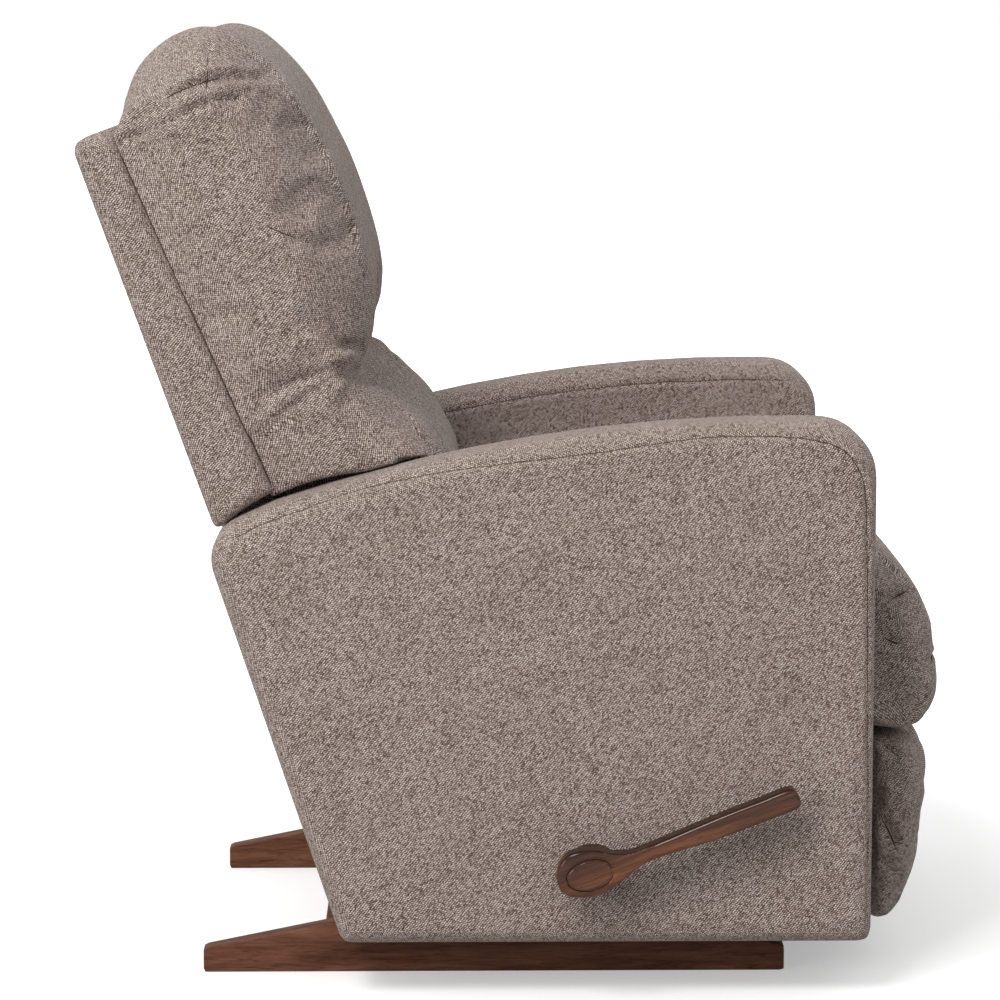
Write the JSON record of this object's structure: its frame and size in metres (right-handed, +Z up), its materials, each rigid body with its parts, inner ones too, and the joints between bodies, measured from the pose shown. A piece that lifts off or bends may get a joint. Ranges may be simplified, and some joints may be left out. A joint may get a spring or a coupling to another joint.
{
  "type": "rocking recliner",
  "caption": "Overstuffed upholstered rocker recliner with sloping arms, wooden base rails, side pull lever and a lazy-tong legrest.",
  "frame": {"origin": "on the floor, under the middle of the whole chair's box, lever included", "axes": "+Z up, the chair faces -Y, the sitter's right is -X"},
  "size_m": [0.852, 0.966, 1.0718],
  "materials": {
    "upholstery": "heathered twill",
    "walnut": "satin dark walnut",
    "lever_wood": "gloss lacquer",
    "frame_wood": "raw",
    "mechanism_steel": "black oxide",
    "spring_steel": "bare",
    "webbing": "woven"
  },
  "bodies": {
    "base": {"base_rail_right": "walnut", "base_rail_left": "walnut", "base_cross_front": "walnut", "base_cross_rear": "walnut", "spring_seats": "mechanism_steel", "rocker_springs_right": "spring_steel", "rocker_springs_left": "spring_steel"},
    "chassis": {"rocker_cam_right": "frame_wood", "rocker_cam_left": "frame_wood", "chassis_rail_right": "frame_wood", "chassis_rail_left": "frame_wood", "chassis_cross_front": "frame_wood", "chassis_cross_rear": "frame_wood", "spring_caps": "mechanism_steel", "side_plate_right": "mechanism_steel", "side_plate_left": "mechanism_steel", "plate_spacers": "mechanism_steel", "seat_pivot_brackets": "mechanism_steel", "arm_frame_right": "frame_wood", "arm_frame_left": "frame_wood", "arm_cover_right": "upholstery", "arm_cover_left": "upholstery", "rear_panel": "upholstery"},
    "seat": {"seat_rail_right": "frame_wood", "seat_rail_left": "frame_wood", "seat_front_rail": "frame_wood", "seat_rear_rail": "frame_wood", "seat_springs": "spring_steel", "seat_cushion": "upholstery"},
    "back": {"back_post_right": "frame_wood", "back_post_left": "frame_wood", "back_top_rail": "frame_wood", "back_lower_rail": "frame_wood", "back_webbing": "webbing", "back_bracket_right": "mechanism_steel", "back_bracket_left": "mechanism_steel", "back_wing_right": "upholstery", "back_wing_left": "upholstery", "back_cover": "upholstery", "back_cushion": "upholstery", "lumbar_cushion": "upholstery"},
    "seat_link": {"seat_links": "mechanism_steel"},
    "lever": {"lever_handle": "lever_wood", "drive_rod": "mechanism_steel", "drive_cranks": "mechanism_steel"},
    "drive_link": {"drive_links": "mechanism_steel"},
    "lift_arm": {"lift_arms": "mechanism_steel"},
    "cross_link": {"cross_links": "mechanism_steel"},
    "front_link": {"front_links": "mechanism_steel"},
    "carrier_link": {"carrier_links": "mechanism_steel"},
    "control_link": {"control_links": "mechanism_steel"},
    "legrest": {"legrest_brackets": "mechanism_steel", "legrest_board": "frame_wood", "legrest_cushion": "upholstery"}
  },
  "joints": [
    {"name": "rock", "type": "hinge", "parent": "base", "child": "chassis", "pos_m": [0.026, 0.02, 0.31], "axis": [-1, 0, 0], "range_deg": [-6, 8], "stiffness_Nm_per_rad": 420, "deforming": ["rocker_springs_right", "rocker_springs_left"]},
    {"name": "recline", "type": "hinge", "parent": "chassis", "child": "back", "pos_m": [0.026, 0.15, 0.33], "axis": [-1, 0, 0], "range_deg": [0, 32], "stiffness_Nm_per_rad": 60, "springref_deg": -34.38},
    {"name": "seat_tilt", "type": "hinge", "parent": "chassis", "child": "seat", "pos_m": [0.026, -0.3, 0.31], "axis": [-1, 0, 0], "range_deg": [0, 3.16]},
    {"name": "seat_link_turn", "type": "hinge", "parent": "back", "child": "seat_link", "pos_m": [0.026, 0.19806, 0.34378], "axis": [-1, 0, 0], "range_deg": [-28.75, 0]},
    {"name": "lever_turn", "type": "hinge", "parent": "chassis", "child": "lever", "pos_m": [0.026, -0.079, 0.151], "axis": [-1, 0, 0], "range_deg": [0, 90]},
    {"name": "drive_link_turn", "type": "hinge", "parent": "lever", "child": "drive_link", "pos_m": [0.026, -0.0973, 0.19211], "axis": [-1, 0, 0], "range_deg": [-90.01, 0]},
    {"name": "lift_arm_turn", "type": "hinge", "parent": "chassis", "child": "lift_arm", "pos_m": [0.026, -0.335, 0.267], "axis": [-1, 0, 0], "range_deg": [0, 90.01]},
    {"name": "cross_link_turn", "type": "hinge", "parent": "lift_arm", "child": "cross_link", "pos_m": [0.026, -0.335, 0.177], "axis": [-1, 0, 0], "range_deg": [-120.01, 0]},
    {"name": "front_link_turn", "type": "hinge", "parent": "cross_link", "child": "front_link", "pos_m": [0.026, -0.36578, 0.26157], "axis": [-1, 0, 0], "range_deg": [0, 120.01]},
    {"name": "carrier_link_turn", "type": "hinge", "parent": "lift_arm", "child": "carrier_link", "pos_m": [0.026, -0.335, 0.087], "axis": [-1, 0, 0], "range_deg": [-120.01, 0]},
    {"name": "control_link_turn", "type": "hinge", "parent": "front_link", "child": "control_link", "pos_m": [0.026, -0.36578, 0.08157], "axis": [-1, 0, 0], "range_deg": [-120.01, 0]},
    {"name": "legrest_turn", "type": "hinge", "parent": "carrier_link", "child": "legrest", "pos_m": [0.026, -0.39656, 0.25615], "axis": [-1, 0, 0], "range_deg": [0, 120.01]}
  ],
  "couplings": [
    {"joint": "seat_tilt", "follows": "recline", "ratio": 0.0985},
    {"joint": "seat_link_turn", "follows": "recline", "ratio": -0.898},
    {"joint": "drive_link_turn", "follows": "lever_turn", "ratio": -1},
    {"joint": "lift_arm_turn", "follows": "lever_turn", "ratio": 1},
    {"joint": "cross_link_turn", "follows": "lever_turn", "ratio": -1.3333},
    {"joint": "front_link_turn", "follows": "lever_turn", "ratio": 1.3333},
    {"joint": "carrier_link_turn", "follows": "lever_turn", "ratio": -1.3333},
    {"joint": "control_link_turn", "follows": "lever_turn", "ratio": -1.3333},
    {"joint": "legrest_turn", "follows": "lever_turn", "ratio": 1.3333}
  ]
}
